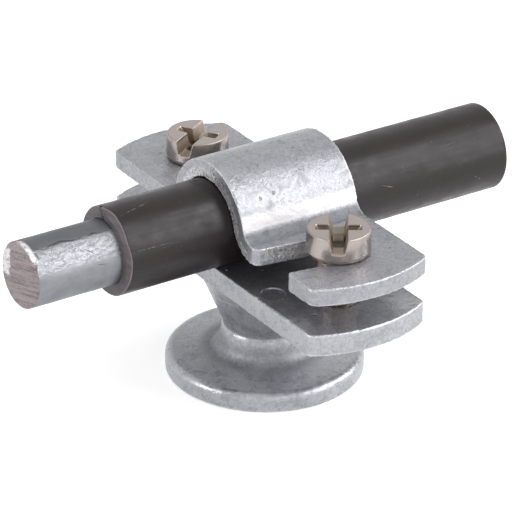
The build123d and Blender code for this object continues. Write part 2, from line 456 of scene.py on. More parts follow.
def sink(made, depth_at, **marks):
    """Moves each point inwards by depth_at(point, normal, edge) in mm. The mesh keeps the edge
    strength, and each of the marks worked out in the same way, for its material to read."""
    points = values_of(made.data.vertices, "co", 3)
    normals = values_of(made.data.vertex_normals, "vector", 3)
    edges = edge_strength(made.data)
    spots = [(Vector(p), Vector(n), float(e)) for p, n, e in zip(points / MM, normals, edges)]
    depths = np.array([depth_at(*spot) for spot in spots])
    kept = {name: [mark_at(*spot) for spot in spots] for name, mark_at in marks.items()}
    for name, values in {"edge": edges, **kept}.items():
        layer = made.data.attributes.new(name, "FLOAT", "POINT")
        layer.data.foreach_set("value", np.array(values, np.float32))
    made.data.vertices.foreach_set("co", (points - normals * depths[:, None] * MM).ravel())
    made.data.update()
    made.data.shade_smooth()
    return made


def set_back(made, start, reach, back_at):
    """Moves points near a rod's -X end along X by back_at(point), fading out over reach, in mm."""
    for v in made.data.vertices:
        near = fade(v.co.x / MM, start + reach, start)
        if near:
            v.co.x += near * back_at(v.co / MM) * MM
    made.data.update()
    return made


def waves(point, size, seed):
    """Smooth noise from 0 to 1 with features of about that size, in mm."""
    return 0.5 + 0.5 * noise.noise(point / size + Vector((seed, 3.1 * seed, 7.7 * seed)))


def fade(value, start, end):
    """0 up to start, 1 from end, with a soft rise between; it falls where end is below start."""
    t = min(max((value - start) / (end - start), 0), 1)
    return t * t * (3 - 2 * t)


def dress(made, materials, slot, body, *nodes):
    """Gives a piece its finishes, its body and the CAD nodes it stands for."""
    for material in materials:
        made.data.materials.append(material)
    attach(made, body)
    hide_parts(*nodes)
    return made


# Finishes


def feed(target, inputs):
    """Gives a node's inputs their values or links. A node stands for its first output in use."""
    for name, source in inputs.items():
        if isinstance(source, bpy.types.Node):
            source = next(socket for socket in source.outputs if socket.enabled)
        if isinstance(source, bpy.types.NodeSocket):
            target.id_data.links.new(source, target.inputs[name])
        else:
            target.inputs[name].default_value = source


def node(tree, kind, inputs=None, **settings):
    """Adds a node with its settings and with what its inputs take."""
    made = tree.nodes.new(kind)
    for name, value in settings.items():
        setattr(made, name, value)
    feed(made, inputs or {})
    return made


def finish(name, **base):
    """A material with one principled surface, its shader, and node() for its own tree."""
    material = bpy.data.materials.new(name)
    material.use_nodes = True
    shader = material.node_tree.nodes["Principled BSDF"]
    feed(shader, {key.replace("_", " "): value for key, value in base.items()})
    return material, shader, partial(node, material.node_tree)


def rgba(colour):
    """A colour with full opacity, as sockets take it."""
    return (*colour, 1)


def hot_dip_zinc(name, pale_zinc, dull_zinc, colours, seed, specks):
    """Hot-dip galvanised iron: a mottled grey zinc skin, partly matt with patina, with duller
    clouds, dark specks and hairlines of dross, small round pits and fine lumps that break up its
    gloss.
    Outer edges are rubbed bright, and low on the cover's flanks a highlight is painted in bright
    zinc. Hollows are rougher and painted darker, as shade, and sheared faces are rough and
    speckled.
    The more specks, from 0 to 1, the more dross and relief the skin has."""
    material, shader, add = finish(name, Metallic=0.65)
    here = add("ShaderNodeTexCoord").outputs["Object"]
    mm = add("ShaderNodeMapping", {"Vector": here, "Location": (seed, 2 * seed, 5 * seed),
                                   "Scale": (1 / MM,) * 3})
    # marks kept on the mesh: besides edges, torn faces and the glossier sheltered top, the hollows
    # that get painted shade and the low flanks that get a painted highlight
    edge, sheared, smooth, dull, fresh = (
        add("ShaderNodeAttribute", attribute_name=mark).outputs["Fac"]
        for mark in ("edge", "sheared", "smooth", "dull", "fresh"))
    cloud, blotch, grain, speck, chips, grit, vein = (
        add("ShaderNodeTexNoise", {"Vector": mm, "Scale": scale, "Detail": detail,
                                   "Roughness": roughness, "Distortion": distortion})
        for scale, detail, roughness, distortion in (
            (0.16, 4.0, 0.5, 0.0),  # clouds about 6 mm across
            (0.5, 6.0, 0.62, 0.6),  # blotches about 2 mm across
            (2.2, 3.0, 0.75, 0.0),  # grains about 0.4 mm across
            (1.35, 2.5, 0.6, 0.0),  # specks about 0.6 mm across
            (4.6, 2.0, 0.8, 0.0),  # chips in the bright edges, about 0.2 mm across
            (2.7, 3.0, 0.85, 0.0),  # grit of the torn faces, about 0.35 mm across
            (0.3, 5.0, 0.6, 0.5)))  # its middle values are hairlines about 0.15 mm wide
    vein = add("ShaderNodeMath", {0: vein, 1: 0.5}, operation="SUBTRACT")
    vein = add("ShaderNodeMath", {0: vein}, operation="ABSOLUTE")
    vein = add("ShaderNodeMapRange", {"Value": vein, "From Min": 0.012, "From Max": 0.003})
    patch = add("ShaderNodeMapRange", {"Value": cloud, "From Min": 0.5, "From Max": 0.58})
    vein = add("ShaderNodeMath", {0: vein, 1: patch}, operation="MULTIPLY")
    # round pits 0.5 mm across in some of the 3 mm cells
    cells = add("ShaderNodeTexVoronoi", {"Vector": mm, "Scale": 0.33}).outputs
    near = add("ShaderNodeMapRange", {"Value": cells["Distance"], "From Min": 0.11,
                                      "From Max": 0.07})
    some = add("ShaderNodeMath", {0: cells["Color"], 1: 0.62}, operation="GREATER_THAN")
    pit = add("ShaderNodeMath", {0: near, 1: some}, operation="MULTIPLY")

    mottle = blotch
    for part, share in ((cloud, 0.5), (grain, 1.2)):
        mottle = add("ShaderNodeMath", {0: part, 1: share, 2: mottle}, operation="MULTIPLY_ADD")
    mottle = add("ShaderNodeMapRange", {"Value": mottle, "From Min": 1.18, "From Max": 1.54})
    stain = add("ShaderNodeMapRange", {"Value": blotch, "From Min": 0.53, "From Max": 0.67,
                                       "To Max": 0.04 + 0.5 * specks})
    dross = add("ShaderNodeMapRange", {"Value": speck, "From Min": 0.66, "From Max": 0.73,
                                       "To Max": specks})
    dark = add("ShaderNodeMath", {0: stain, 1: dross}, operation="MAXIMUM")
    # painted shade: creases, the bends' hollows and the collar's hollow are darkened towards the
    # pit grey, and made rougher below
    hollow = add("ShaderNodeMapRange", {"Value": edge, "From Min": -0.08, "From Max": -0.4})
    hollow = add("ShaderNodeMath", {0: hollow, 1: dull}, operation="MAXIMUM")
    for part, share in ((hollow, 0.38), (vein, 0.45 * specks), (pit, 0.6 * specks)):
        dark = add("ShaderNodeMath", {0: part, 1: share, 2: dark}, operation="MULTIPLY_ADD",
                   use_clamp=True)
    worn = add("ShaderNodeMapRange", {"Value": edge, "From Min": 0.35, "From Max": 0.9})
    chipped = add("ShaderNodeMapRange", {"Value": chips, "From Min": 0.42, "From Max": 0.62,
                                         "To Min": 0.1, "To Max": 0.6})
    rubbed = add("ShaderNodeMath", {0: worn, 1: chipped}, operation="MULTIPLY")
    # painted highlight: the low flanks of the cover are mixed towards bright zinc, besides the
    # rubbed edges
    rubbed = add("ShaderNodeMath", {0: fresh, 1: 0.9, 2: rubbed}, operation="MULTIPLY_ADD",
                 use_clamp=True)
    glitter = add("ShaderNodeMapRange", {"Value": grit, "From Min": 0.38, "From Max": 0.54})
    torn = add("ShaderNodeMix", {"Factor": glitter, "A": rgba(colours.zinc_pit_and_shade),
                                 "B": rgba(colours.zinc_bright_and_highlight)}, data_type="RGBA")
    torn_share = add("ShaderNodeMath", {0: sheared, 1: 0.6}, operation="MULTIPLY")
    colour = rgba(dull_zinc)
    for share, over in ((mottle, rgba(pale_zinc)), (dark, rgba(colours.zinc_pit_and_shade)),
                        (rubbed, rgba(colours.zinc_bright_and_highlight)), (torn_share, torn)):
        colour = add("ShaderNodeMix", {"Factor": share, "A": colour, "B": over}, data_type="RGBA")

    gloss = add("ShaderNodeMapRange", {"Value": blotch, "From Min": 0.3, "From Max": 0.7,
                                       "To Min": 0.2, "To Max": 0.42})
    for part, share in ((hollow, 0.4), (fresh, 0.28), (smooth, -0.14)):
        gloss = add("ShaderNodeMath", {0: part, 1: share, 2: gloss}, operation="MULTIPLY_ADD")

    tear = add("ShaderNodeMath", {0: sheared, 1: grit}, operation="MULTIPLY")
    sparkle = add("ShaderNodeMapRange", {"Value": edge, "From Min": 0.1, "From Max": 0.5})
    sparkle = add("ShaderNodeMath", {0: sparkle, 1: chips}, operation="MULTIPLY")
    # relief in mm, a little deeper than it is so that it shows: lumps, then grain, pits, torn
    # faces and grainy edges
    height = add("ShaderNodeMath", {0: blotch, 1: 0.08 + 0.08 * specks}, operation="MULTIPLY")
    for part, depth in ((grain, 0.01 + 0.09 * specks), (pit, -0.08), (tear, 0.1), (sparkle, 0.03)):
        height = add("ShaderNodeMath", {0: part, 1: depth, 2: height}, operation="MULTIPLY_ADD")
    bump = add("ShaderNodeBump", {"Height": height, "Strength": 1.0, "Distance": MM})
    feed(shader, {"Base Color": colour, "Roughness": gloss, "Normal": bump})
    return material


def plated_steel(name, colours):
    """Nickel-plated steel: warm grey and bright, faintly clouded and dulled along its edges, with a
    matt brown film in the recess and painted shade that darkens it towards its bottom."""
    material, shader, add = finish(name)
    here = add("ShaderNodeTexCoord").outputs["Object"]
    mm = add("ShaderNodeMapping", {"Vector": here, "Scale": (1 / MM,) * 3})
    recess, pit, edge = (add("ShaderNodeAttribute", attribute_name=mark).outputs["Fac"]
                         for mark in ("recess", "pit", "edge"))
    # mist about 1 mm across
    mist = add("ShaderNodeTexNoise", {"Vector": mm, "Scale": 0.9, "Detail": 5.0, "Roughness": 0.65})
    worn = add("ShaderNodeMapRange", {"Value": edge, "From Min": 0.3, "From Max": 0.8,
                                      "To Max": 0.3})
    film = add("ShaderNodeMapRange", {"Value": mist, "From Min": 0.5, "From Max": 0.8,
                                      "To Max": 0.2})
    film = add("ShaderNodeMath", {0: recess, 1: 0.8, 2: film}, operation="MULTIPLY_ADD",
               use_clamp=True)
    film = add("ShaderNodeMath", {0: film, 1: worn}, operation="MAXIMUM")
    colour = rgba(colours.plating)
    # the recess's film is brown, and its bottom is painted darker as shade
    for share, over in ((film, colours.plating_grime), (pit, colours.recess_shade)):
        colour = add("ShaderNodeMix", {"Factor": share, "A": colour, "B": rgba(over)},
                     data_type="RGBA")
    bare = add("ShaderNodeMapRange", {"Value": recess, "To Min": 1.0, "To Max": 0.4})
    gloss = add("ShaderNodeMapRange", {"Value": mist, "From Min": 0.3, "From Max": 0.7,
                                       "To Min": 0.18, "To Max": 0.26})
    for part, share in ((recess, 0.2), (worn, 0.8)):
        gloss = add("ShaderNodeMath", {0: part, 1: share, 2: gloss}, operation="MULTIPLY_ADD")
    bump = add("ShaderNodeBump", {"Height": mist, "Strength": 1.0, "Distance": 0.006 * MM})
    feed(shader, {"Base Color": colour, "Metallic": bare, "Roughness": gloss, "Normal": bump})
    return material


def unrolled(add, axis_height, radius):
    """Place on a rod along X, in mm: along it, and round it from the top towards -Y."""
    here = add("ShaderNodeTexCoord").outputs["Object"]
    part = add("ShaderNodeSeparateXYZ", {0: here}).outputs
    front = add("ShaderNodeMath", {0: part["Y"], 1: -1.0}, operation="MULTIPLY")
    above = add("ShaderNodeMath", {0: part["Z"], 1: axis_height}, operation="SUBTRACT")
    angle = add("ShaderNodeMath", {0: front, 1: above}, operation="ARCTAN2")
    arc_mm = add("ShaderNodeMath", {0: angle, 1: radius / MM}, operation="MULTIPLY")
    x_mm = add("ShaderNodeMath", {0: part["X"], 1: 1 / MM}, operation="MULTIPLY")
    return add("ShaderNodeCombineXYZ", {"X": x_mm, "Y": arc_mm})


def scuffs(add, flat, marks):
    """Mask of thin scratches, each as x, arc, length, width in mm and lean in degrees."""
    mask = None
    for x, along, length, width, lean in marks:
        local = add("ShaderNodeMapping", {"Vector": flat, "Location": (x, along, 0),
                                          "Rotation": (0, 0, math.radians(lean)),
                                          "Scale": (length / 2, width / 2, 1)},
                    vector_type="TEXTURE")
        far = add("ShaderNodeVectorMath", {0: local}, operation="LENGTH")
        line = add("ShaderNodeMapRange", {"Value": far, "From Min": 1.0, "From Max": 0.4})
        mask = line if mask is None else add("ShaderNodeMath", {0: mask, 1: line},
                                             operation="MAXIMUM")
    return mask


SHEATH_SCUFFS = (
    (-23.5, 1.7, 7.2, 0.17, -13), (-23.5, 8.3, 8.0, 0.14, 1), (17.5, 9.2, 2.9, 0.2, 21),
    (20.5, 7.0, 0.9, 0.14, 40), (9.0, 2.5, 4.0, 0.1, 8), (30.0, 5.5, 5.0, 0.1, -5),
    (26.0, -6.0, 7.0, 0.12, 6), (-14.0, -9.0, 6.0, 0.12, -8), (34.0, 12.0, 3.0, 0.14, 35))
ROD_SCUFFS = ((-32.6, 4.5, 2.4, 0.18, 38), (-40.6, 3.1, 1.6, 0.9, 70), (-31.0, 6.9, 2.0, 0.2, 10))


def black_pvc(name, colours, rod):
    """Extruded PVC: black and semi-matt, with faint draw lines along it, dust and pale scuffs."""
    material, shader, add = finish(name, IOR=1.53, Specular_IOR_Level=0.32)
    flat = unrolled(add, rod.height, rod.sheath_radius)
    # draw lines 0.7 mm apart and 10 mm long, clouds 3 mm across, dust 0.4 mm, gaps in scuffs 0.6 mm
    drawn_out = add("ShaderNodeMapping", {"Vector": flat, "Scale": (0.1, 1.4, 1)})
    lines, cloud, dust, gaps = (
        add("ShaderNodeTexNoise", {"Vector": where, "Scale": scale, "Detail": detail,
                                   "Roughness": roughness})
        for where, scale, detail, roughness in (
            (drawn_out, 1.0, 5.0, 0.6), (flat, 0.3, 6.0, 0.65), (flat, 2.2, 2.0, 0.5),
            (flat, 1.7, 3.0, 0.5)))
    dust = add("ShaderNodeMapRange", {"Value": dust, "From Min": 0.7, "From Max": 0.76,
                                      "To Max": 0.25})
    gaps = add("ShaderNodeMapRange", {"Value": gaps, "From Min": 0.42, "From Max": 0.6})
    marks = scuffs(add, flat, SHEATH_SCUFFS)
    marks = add("ShaderNodeMath", {0: marks, 1: gaps}, operation="MULTIPLY")
    pale = add("ShaderNodeMath", {0: marks, 1: 0.6, 2: dust}, operation="MULTIPLY_ADD")
    colour = add("ShaderNodeMix", {"Factor": pale, "A": rgba(colours.sheath),
                                   "B": rgba(colours.sawn_steel)}, data_type="RGBA")
    gloss = add("ShaderNodeMath", {0: lines, 1: 0.5, 2: cloud}, operation="MULTIPLY_ADD")
    gloss = add("ShaderNodeMapRange", {"Value": gloss, "From Min": 0.55, "From Max": 0.95,
                                       "To Min": 0.26, "To Max": 0.5})
    height = add("ShaderNodeMath", {0: marks, 1: -1.5, 2: lines}, operation="MULTIPLY_ADD")
    bump = add("ShaderNodeBump", {"Height": height, "Strength": 1.0, "Distance": 0.02 * MM})
    feed(shader, {"Base Color": colour, "Roughness": gloss, "Normal": bump})
    return material


def knife_cut_pvc(name, colours):
    """Knife-cut PVC: paler and duller than the extruded skin, with drag marks and a pale lip."""
    material, shader, add = finish(name, IOR=1.53, Roughness=0.55)
    here = add("ShaderNodeTexCoord").outputs["Object"]
    # drag marks about 0.6 mm apart, along the blade's lean
    mm = add("ShaderNodeMapping", {"Vector": here, "Rotation": (0.5, 0, 0),
                                   "Scale": (1 / MM, 0.4 / MM, 2 / MM)})
    drag = add("ShaderNodeTexNoise", {"Vector": mm, "Scale": 0.9, "Detail": 4.0})
    edge = add("ShaderNodeAttribute", attribute_name="edge").outputs["Fac"]
    lip = add("ShaderNodeMapRange", {"Value": edge, "From Min": 0.2, "From Max": 0.7,
                                     "To Max": 0.45})
    colour = rgba(colours.sheath)
    for share, over in ((drag, colours.sheath_cut), (lip, colours.sawn_steel)):
        colour = add("ShaderNodeMix", {"Factor": share, "A": colour, "B": rgba(over)},
                     data_type="RGBA")
    bump = add("ShaderNodeBump", {"Height": drag, "Strength": 1.0, "Distance": 0.04 * MM})
    feed(shader, {"Base Color": colour, "Normal": bump})
    return material


def zinc_coated_rod(name, colours, rod):
    """Zinc-coated drawn steel: a smooth grey skin with a dark broken seam along it, a strip above
    the seam that is painted darker as shade and is a little rougher and, below it, a strip crinkled
    into small brighter and duller facets."""
    material, shader, add = finish(name, Metallic=1.0)
    flat = unrolled(add, rod.height, rod.rod_radius)
    seam, crown, crinkled, smear, edge = (
        add("ShaderNodeAttribute", attribute_name=mark).outputs["Fac"]
        for mark in ("seam", "crown", "crinkled", "smear", "edge"))
    # facets about 0.8 mm across and clouds about 3 mm, a little drawn out along the rod
    drawn_out = add("ShaderNodeMapping", {"Vector": flat, "Scale": (0.6, 0.9, 1)})
    cloud = add("ShaderNodeTexNoise", {"Vector": drawn_out, "Scale": 0.4, "Detail": 4.0})
    crinkle = add("ShaderNodeTexNoise", {"Vector": drawn_out, "Scale": 1.7, "Detail": 5.0,
                                         "Roughness": 0.7, "Distortion": 0.5})
    crinkle = add("ShaderNodeMapRange", {"Value": crinkle, "From Min": 0.35, "From Max": 0.65})
    rough = add("ShaderNodeMapRange", {"Value": crinkled, "To Min": 0.12})
    facet = add("ShaderNodeMath", {0: crinkle, 1: rough}, operation="MULTIPLY")
    mottle = add("ShaderNodeMath", {0: cloud, 1: facet}, operation="ADD")
    mottle = add("ShaderNodeMapRange", {"Value": mottle, "From Min": 0.42, "From Max": 1.15})
    gaps = add("ShaderNodeMapRange", {"Value": cloud, "From Min": 0.4, "From Max": 0.55,
                                      "To Min": 0.2, "To Max": 0.75})
    dark = add("ShaderNodeMath", {0: seam, 1: gaps}, operation="MULTIPLY")
    # the strip over the top is darkened towards the pit grey: painted shade
    for part, share in ((crown, 0.5), (scuffs(add, flat, ROD_SCUFFS), 0.75)):
        dark = add("ShaderNodeMath", {0: part, 1: share, 2: dark}, operation="MULTIPLY_ADD",
                   use_clamp=True)
    rubbed = add("ShaderNodeMapRange", {"Value": edge, "From Min": 0.3, "From Max": 0.9,
                                        "To Max": 0.5})
    rubbed = add("ShaderNodeMath", {0: rubbed, 1: smear}, operation="MULTIPLY")
    colour = rgba(colours.rod_dull)
    for share, over in ((mottle, colours.rod_pale), (dark, colours.zinc_pit_and_shade),
                        (rubbed, colours.zinc_bright_and_highlight)):
        colour = add("ShaderNodeMix", {"Factor": share, "A": colour, "B": rgba(over)},
                     data_type="RGBA")
    gloss = add("ShaderNodeMapRange", {"Value": facet, "To Min": 0.44, "To Max": 0.32})
    gloss = add("ShaderNodeMath", {0: crown, 1: 0.06, 2: gloss}, operation="MULTIPLY_ADD")
    bump = add("ShaderNodeBump", {"Height": facet, "Strength": 1.0, "Distance": 0.06 * MM})
    feed(shader, {"Base Color": colour, "Roughness": gloss, "Normal": bump})
    return material


def sawn_steel(name, colours):
    """Hacksawn steel: warm grey and dull, scored by slanting saw lines, with bright zinc smeared
    over two parts of its rim."""
    material, shader, add = finish(name, Metallic=1.0)
    here = add("ShaderNodeTexCoord").outputs["Object"]
    smear = add("ShaderNodeAttribute", attribute_name="smear").outputs["Fac"]
    # saw lines about 0.4 mm apart, rising to the front by 14 degrees, and grit about 0.4 mm across
    level = add("ShaderNodeMapping", {"Vector": here, "Rotation": (math.radians(14), 0, 0)})
    strokes = add("ShaderNodeMapping", {"Vector": level, "Scale": (0.3 / MM, 0.14 / MM, 2.6 / MM)})
    lines = add("ShaderNodeTexNoise", {"Vector": strokes, "Scale": 1.0, "Detail": 5.0,
                                       "Roughness": 0.7})
    mm = add("ShaderNodeMapping", {"Vector": here, "Scale": (1 / MM,) * 3})
    grit = add("ShaderNodeTexNoise", {"Vector": mm, "Scale": 2.6, "Detail": 3.0, "Roughness": 0.7})
    score = add("ShaderNodeMath", {0: grit, 1: 0.6, 2: lines}, operation="MULTIPLY_ADD")
    score = add("ShaderNodeMapRange", {"Value": score, "From Min": 0.76, "From Max": 1.0,
                                       "To Max": 0.7})
    ragged = add("ShaderNodeMath", {0: grit, 1: lines}, operation="ADD")
    ragged = add("ShaderNodeMath", {0: smear, 1: 0.45, 2: ragged}, operation="MULTIPLY_ADD")
    ragged = add("ShaderNodeMapRange", {"Value": ragged, "From Min": 1.28, "From Max": 1.48,
                                        "To Max": 0.75})
    colour = rgba(colours.sawn_steel)
    for share, over in ((score, colours.zinc_pit_and_shade), (ragged, colours.zinc_bright_and_highlight)):
        colour = add("ShaderNodeMix", {"Factor": share, "A": colour, "B": rgba(over)},
                     data_type="RGBA")
    gloss = add("ShaderNodeMapRange", {"Value": lines, "From Min": 0.3, "From Max": 0.7,
                                       "To Min": 0.4, "To Max": 0.6})
    height = add("ShaderNodeMath", {0: grit, 1: 0.4, 2: lines}, operation="MULTIPLY_ADD")
    bump = add("ShaderNodeBump", {"Height": height, "Strength": 1.0, "Distance": 0.1 * MM})
    feed(shader, {"Base Color": colour, "Roughness": gloss, "Normal": bump})
    return material


# Pieces


SCREW_HOLE_RADIUS = 3.05 * MM
PLATE_CORNER, COVER_CORNER = 0.9 * MM, 1.0 * MM
FOOT_HOLE_DEPTH, FOOT_THREAD_DEPTH = 11 * MM, 0.6 * MM
# Heights that clear the cover, for the cutters that shape it
BELOW_COVER, ABOVE_WINGS, ABOVE_SADDLE = 20 * MM, 30 * MM, 45 * MM
# From the front screw's axis to the slot's wall
SLOT_TO_SCREW = 3.1 * MM

# Marks of this casting, in mm: heights of the neck's rings, the round mark's middle, how deep it is
# and how wide its wall, how far out the mesh is refined for it, and the notch in the plate's edge
NECK_RINGS = (10.2, 14.3)
ROUND_MARK, MARK_DEPTH, MARK_WALL, MARK_REFINED = (-7.2, -13.0), 0.25, 0.3, 2.7
NOTCH = Vector((-10.0, -13.1, 20.0))


def nicks(p, edge, seed, least):
    """Depth of the small knocks along outer edges, in mm; more of them where least is lower."""
    return 0.07 * max(edge, 0) * fade(waves(p, size=0.7, seed=seed), least, 0.8)


class HOLDER_OT_casting(bpy.types.Operator):
    """Build the galvanised casting: foot, neck and lower plate"""
    bl_idname = "holder.casting"
    bl_label = "Build casting"

    def execute(self, context):
        scene = context.scene
        s, cover, screws = scene.holder_casting, scene.holder_cover, scene.holder_screws
        under = s.plate_top - s.plate_thickness
        made = turned("base_casting_skin", self.profile(s, under))
        outline = rounded_strip(s.plate_width, s.plate_length, cover.tip_radius, PLATE_CORNER)
        combine(made, drawn("plate", outline, under, s.plate_top), "UNION")
        for side in (-1, 1):
            drill(made, SCREW_HOLE_RADIUS, -5 * MM, 5 * MM, (0, side * screws.offset, s.plate_top))
        tap = threaded("tap", crest=s.tap_radius + FOOT_THREAD_DEPTH, depth=FOOT_THREAD_DEPTH,
                       pitch=s.tap_pitch, low=-s.tap_pitch, high=FOOT_HOLE_DEPTH, lead=0.1 * MM)
        combine(made, tap, "DIFFERENCE")
        skin(made, grain=0.255 * MM, passes=2)
        mark, mark_radius = Vector((*ROUND_MARK, s.plate_top / MM)), s.mark_radius / MM
        refine(made, lambda p: (p - mark).length < MARK_REFINED)

        def unevenness(p, n, edge):
            """Cast waviness, nicked edges, the neck's faint rings, the notch and the round mark."""
            depth = 0.04 * waves(p, size=4.0, seed=1.0) + 0.02 * waves(p, size=1.1, seed=2.0)
            depth += nicks(p, edge, seed=3.0, least=0.5)
            if p.z < under / MM:
                depth += 0.035 * sum(fade(abs(p.z - ring), 0.25, 0) for ring in NECK_RINGS)
            if n.z > 0.5 and p.z > mark.z - 1:
                wall = fade((p - mark).length, mark_radius, mark_radius - MARK_WALL)
                depth += MARK_DEPTH * wall
            return depth + 0.14 * fade((p - NOTCH).length, 0.6, 0.1)

        def smooth(p, n, edge):
            """1 on the plate's sheltered, glossy top."""
            return fade(n.z, 0.8, 0.95) * fade(p.z, mark.z - 1, mark.z - 0.5)

        def dull(p, n, edge):
            """0.7 in the hollow round the collar, low down and near the axis, where the skin is
            rougher and shade is painted.
            """
            return (0.7 * fade(math.hypot(p.x, p.y), 10.5, 8.3) * fade(p.z, 7.2, 5.6)
                    * fade(n.z, 0, 0.1))

        sink(made, unevenness, smooth=smooth, dull=dull)
        for v in made.data.vertices:
            v.co.z = max(v.co.z, 0)
        colours = scene.holder_colours
        # lighter colours than the cover's: painted fill light for the casting's shaded parts
        zinc = hot_dip_zinc("hot_dip_zinc_casting", colours.cast_pale, colours.cast_dull, colours,
                            seed=0.0, specks=0.12)
        dress(made, [zinc], "galvanised_casting", "holder_base", "base_casting")
        return {"FINISHED"}

    def profile(self, s, under):
        """Half section of foot, collar and neck, from the underside's middle up into the plate."""
        foot, rim, heel = s.foot_radius, s.rim_round, 0.3 * MM
        hollow, soft = s.collar_hollow, s.collar_shoulder
        slope, lean = math.degrees(s.top_slope), math.degrees(s.collar_lean)
        round_x = s.collar_radius + hollow * math.cos(s.collar_lean)
        round_z = (s.rim_height + (foot - rim - round_x) * math.tan(s.top_slope)
                   + hollow / math.cos(s.top_slope))
        shoulder = (s.crease_radius - 0.42 * soft, s.crease_height - 0.95 * soft)
        flare, inside = s.plate_width / 2 - 0.15 * MM, under + 1 * MM
        return [(0, 0), (foot - heel, 0), (foot, heel),
                *arc((foot - rim, s.rim_height - rim), rim, 0, 90 - slope, 10),
                *arc((round_x, round_z), hollow, 270 - slope, 180 + lean, 10),
                *arc(shoulder, soft, lean, 65, 8),
                (s.crease_radius, s.crease_height), (flare, under), (flare, inside), (0, inside)]


